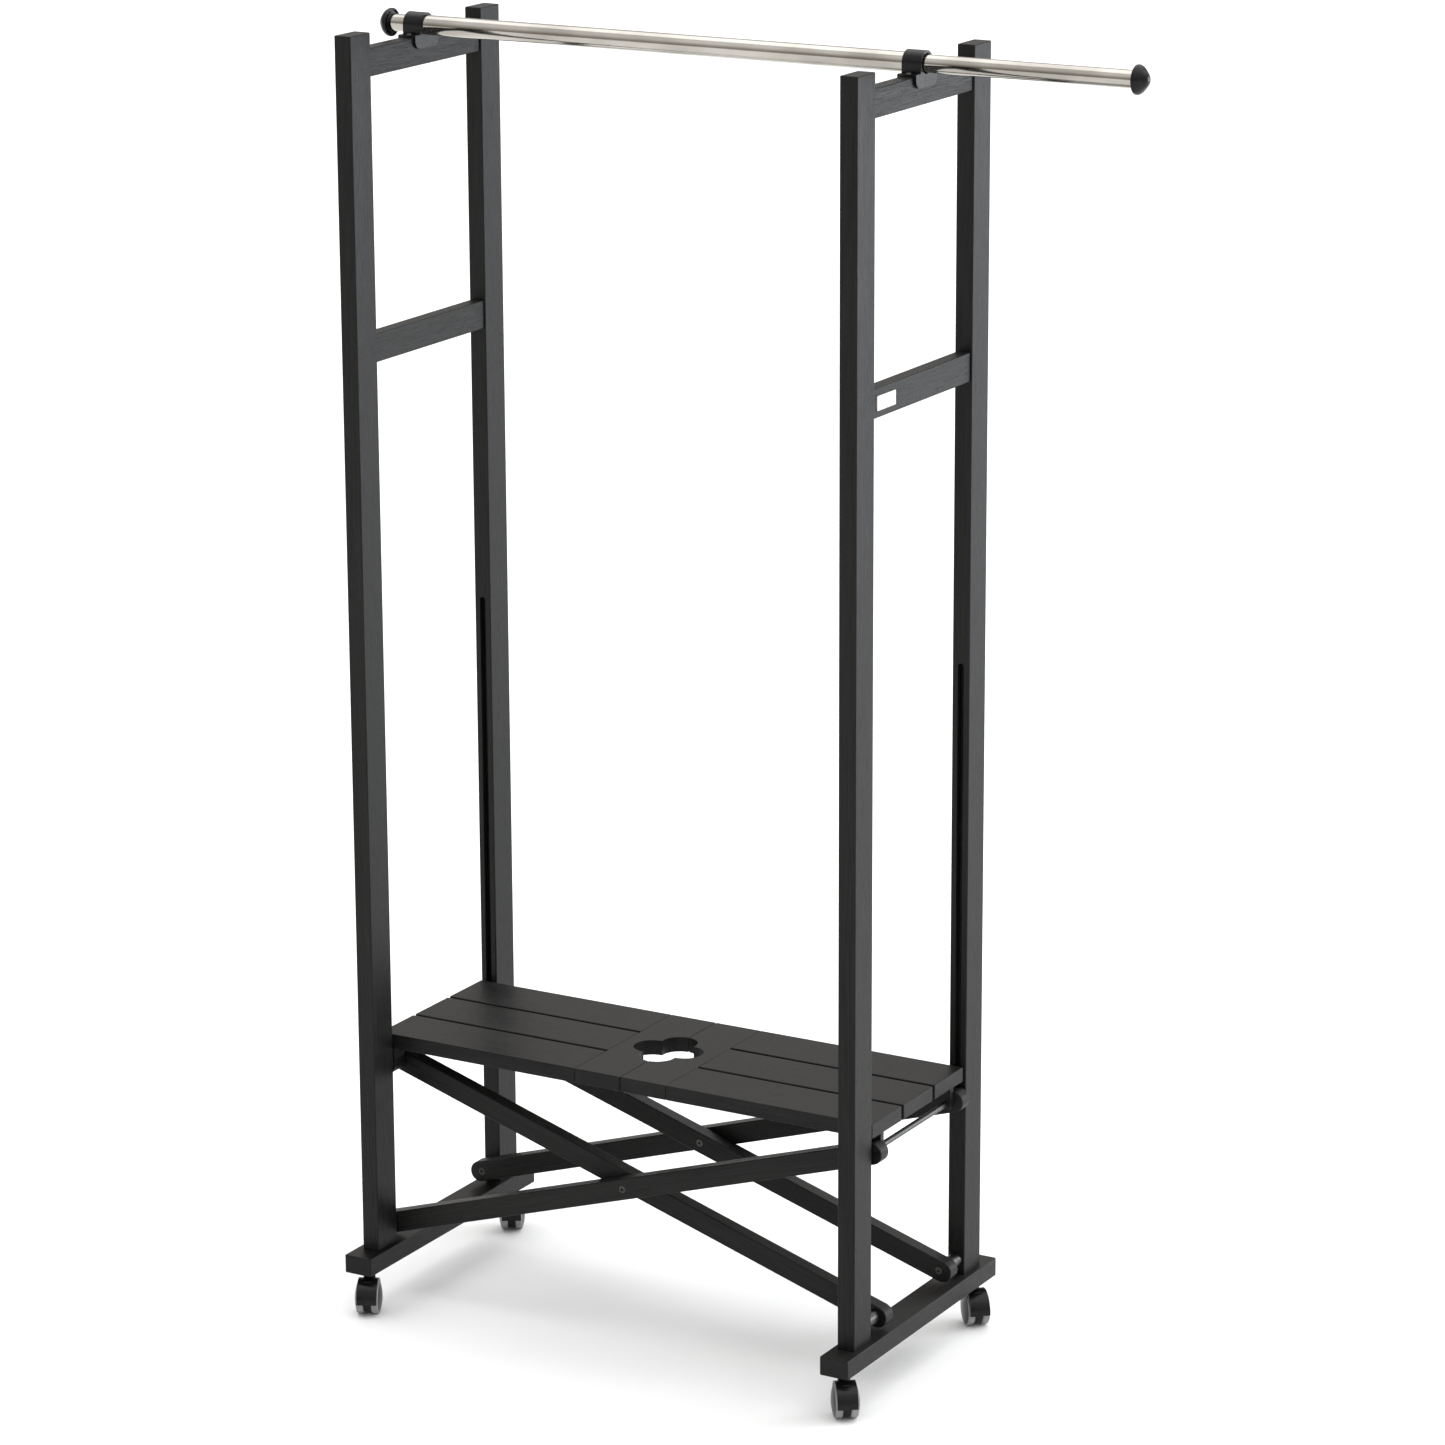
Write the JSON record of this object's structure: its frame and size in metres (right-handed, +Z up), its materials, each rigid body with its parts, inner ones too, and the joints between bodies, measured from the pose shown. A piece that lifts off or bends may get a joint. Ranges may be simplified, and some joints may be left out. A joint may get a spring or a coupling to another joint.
{
  "type": "rolling clothes rack",
  "caption": "Folding black wooden clothes rack on casters: two ladder frames, crossed arms, hinged slatted shelf with a handle hole, and a steel hanging tube that pulls out at both ends.",
  "frame": {"origin": "on the floor, under the middle of the outline of the rack with its tube", "axes": "+X along the hanging tube towards the long pull-out end, +Y from the front to the back of the rack, +Z up"},
  "size_m": [1.0736, 0.4209, 1.6938],
  "materials": {
    "black_wood": "black paint, satin",
    "tube_steel": "polished",
    "black_steel": "black, semi-gloss",
    "fastener_steel": "dark plated",
    "black_plastic": "satin",
    "wheel_plastic": "satin",
    "plate_plastic": "matte"
  },
  "bodies": {
    "left_frame": {"upright_front_left": "black_wood", "upright_back_left": "black_wood", "top_rail_left": "black_wood", "middle_rail_left": "black_wood", "foot_rail_left": "black_wood", "rail_clip_left": "black_plastic", "clip_screws_left": "fastener_steel", "outer_tube": "tube_steel", "pivot_bolts_left": "fastener_steel", "pivot_spacers_left": "fastener_steel", "caster_stems_left": "fastener_steel"},
    "right_frame": {"upright_front_right": "black_wood", "upright_back_right": "black_wood", "top_rail_right": "black_wood", "middle_rail_right": "black_wood", "foot_rail_right": "black_wood", "rail_clip_right": "black_plastic", "clip_screws_right": "fastener_steel", "blank_plate": "plate_plastic", "pivot_bolts_right": "fastener_steel", "pivot_spacers_right": "fastener_steel", "caster_stems_right": "fastener_steel"},
    "outer_arms": {"outer_arm_front": "black_wood", "outer_arm_back": "black_wood", "cross_rod_right": "black_steel", "centre_bolts": "fastener_steel", "arm_washers": "fastener_steel"},
    "inner_arms": {"inner_arm_front": "black_wood", "inner_arm_back": "black_wood", "cross_rod_left": "black_steel"},
    "shelf_left": {"slat_front_left": "black_wood", "slat_middle_left": "black_wood", "slat_back_left": "black_wood", "cross_board_left": "black_wood", "shelf_batten_left": "black_wood", "rod_blocks_left": "black_wood", "hinge_leaves_left": "fastener_steel"},
    "shelf_right": {"slat_front_right": "black_wood", "slat_middle_right": "black_wood", "slat_back_right": "black_wood", "cross_board_right": "black_wood", "shelf_batten_right": "black_wood", "rod_seats_right": "black_wood", "hinge_leaves_right": "fastener_steel"},
    "tube_left": {"inner_tube_left": "tube_steel", "knob_left": "black_plastic"},
    "tube_right": {"inner_tube_right": "tube_steel", "knob_right": "black_plastic"},
    "caster_front_left": {"caster_hood_front_left": "black_plastic"},
    "wheel_front_left_a": {"caster_wheel_front_left_a": "wheel_plastic"},
    "wheel_front_left_b": {"caster_wheel_front_left_b": "wheel_plastic"},
    "caster_front_right": {"caster_hood_front_right": "black_plastic"},
    "wheel_front_right_a": {"caster_wheel_front_right_a": "wheel_plastic"},
    "wheel_front_right_b": {"caster_wheel_front_right_b": "wheel_plastic"},
    "caster_back_left": {"caster_hood_back_left": "black_plastic"},
    "wheel_back_left_a": {"caster_wheel_back_left_a": "wheel_plastic"},
    "wheel_back_left_b": {"caster_wheel_back_left_b": "wheel_plastic"},
    "caster_back_right": {"caster_hood_back_right": "black_plastic"},
    "wheel_back_right_a": {"caster_wheel_back_right_a": "wheel_plastic"},
    "wheel_back_right_b": {"caster_wheel_back_right_b": "wheel_plastic"}
  },
  "joints": [
    {"name": "fold", "type": "hinge", "parent": "left_frame", "child": "outer_arms", "pos_m": [-0.48125, 0, 0.1025], "axis": [0, -1, 0], "range_deg": [0, 66.1]},
    {"name": "arm_cross", "type": "hinge", "parent": "outer_arms", "child": "inner_arms", "pos_m": [-0.12555, 0, 0.214], "axis": [0, -1, 0], "range_deg": [-132.21, 0]},
    {"name": "right_frame_pivot", "type": "hinge", "parent": "inner_arms", "child": "right_frame", "pos_m": [0.23015, 0, 0.1025], "axis": [0, -1, 0], "range_deg": [0, 66.11]},
    {"name": "shelf_left_hinge", "type": "hinge", "parent": "inner_arms", "child": "shelf_left", "pos_m": [-0.48125, 0, 0.3255], "axis": [0, -1, 0], "range_deg": [0, 146.14]},
    {"name": "shelf_centre_hinge", "type": "hinge", "parent": "shelf_left", "child": "shelf_right", "pos_m": [-0.12555, 0, 0.3452], "axis": [0, -1, 0], "range_deg": [-160.06, 0]},
    {"name": "left_tube_slide", "type": "slide", "parent": "left_frame", "child": "tube_left", "axis": [-1, 0, 0], "range_m": [0, 0.21]},
    {"name": "right_tube_slide", "type": "slide", "parent": "left_frame", "child": "tube_right", "axis": [1, 0, 0], "range_m": [-0.27, 0]},
    {"name": "swivel_front_left", "type": "hinge", "parent": "left_frame", "child": "caster_front_left", "pos_m": [-0.48125, -0.177, 0.057], "axis": [0, 0, 1], "continuous": true},
    {"name": "roll_front_left_a", "type": "hinge", "parent": "caster_front_left", "child": "wheel_front_left_a", "pos_m": [-0.47599, -0.18779, 0.0215], "axis": [0.8988, 0.4384, 0], "continuous": true},
    {"name": "roll_front_left_b", "type": "hinge", "parent": "caster_front_left", "child": "wheel_front_left_b", "pos_m": [-0.47599, -0.18779, 0.0215], "axis": [0.8988, 0.4384, 0], "continuous": true},
    {"name": "swivel_front_right", "type": "hinge", "parent": "right_frame", "child": "caster_front_right", "pos_m": [0.23015, -0.177, 0.057], "axis": [0, 0, 1], "continuous": true},
    {"name": "roll_front_right_a", "type": "hinge", "parent": "caster_front_right", "child": "wheel_front_right_a", "pos_m": [0.23737, -0.18658, 0.0215], "axis": [0.7986, 0.6018, 0], "continuous": true},
    {"name": "roll_front_right_b", "type": "hinge", "parent": "caster_front_right", "child": "wheel_front_right_b", "pos_m": [0.23737, -0.18658, 0.0215], "axis": [0.7986, 0.6018, 0], "continuous": true},
    {"name": "swivel_back_left", "type": "hinge", "parent": "left_frame", "child": "caster_back_left", "pos_m": [-0.48125, 0.177, 0.057], "axis": [0, 0, 1], "continuous": true},
    {"name": "roll_back_left_a", "type": "hinge", "parent": "caster_back_left", "child": "wheel_back_left_a", "pos_m": [-0.47525, 0.16661, 0.0215], "axis": [0.866, 0.5, 0], "continuous": true},
    {"name": "roll_back_left_b", "type": "hinge", "parent": "caster_back_left", "child": "wheel_back_left_b", "pos_m": [-0.47525, 0.16661, 0.0215], "axis": [0.866, 0.5, 0], "continuous": true},
    {"name": "swivel_back_right", "type": "hinge", "parent": "right_frame", "child": "caster_back_right", "pos_m": [0.23015, 0.177, 0.057], "axis": [0, 0, 1], "continuous": true},
    {"name": "roll_back_right_a", "type": "hinge", "parent": "caster_back_right", "child": "wheel_back_right_a", "pos_m": [0.23833, 0.16822, 0.0215], "axis": [0.7314, 0.682, 0], "continuous": true},
    {"name": "roll_back_right_b", "type": "hinge", "parent": "caster_back_right", "child": "wheel_back_right_b", "pos_m": [0.23833, 0.16822, 0.0215], "axis": [0.7314, 0.682, 0], "continuous": true}
  ],
  "couplings": [
    {"joint": "arm_cross", "follows": "fold", "ratio": -2},
    {"joint": "right_frame_pivot", "follows": "fold", "ratio": 1},
    {"joint": "shelf_left_hinge", "follows": "fold", "ratio": 2.2107},
    {"joint": "shelf_centre_hinge", "follows": "fold", "ratio": -2.4214}
  ]
}
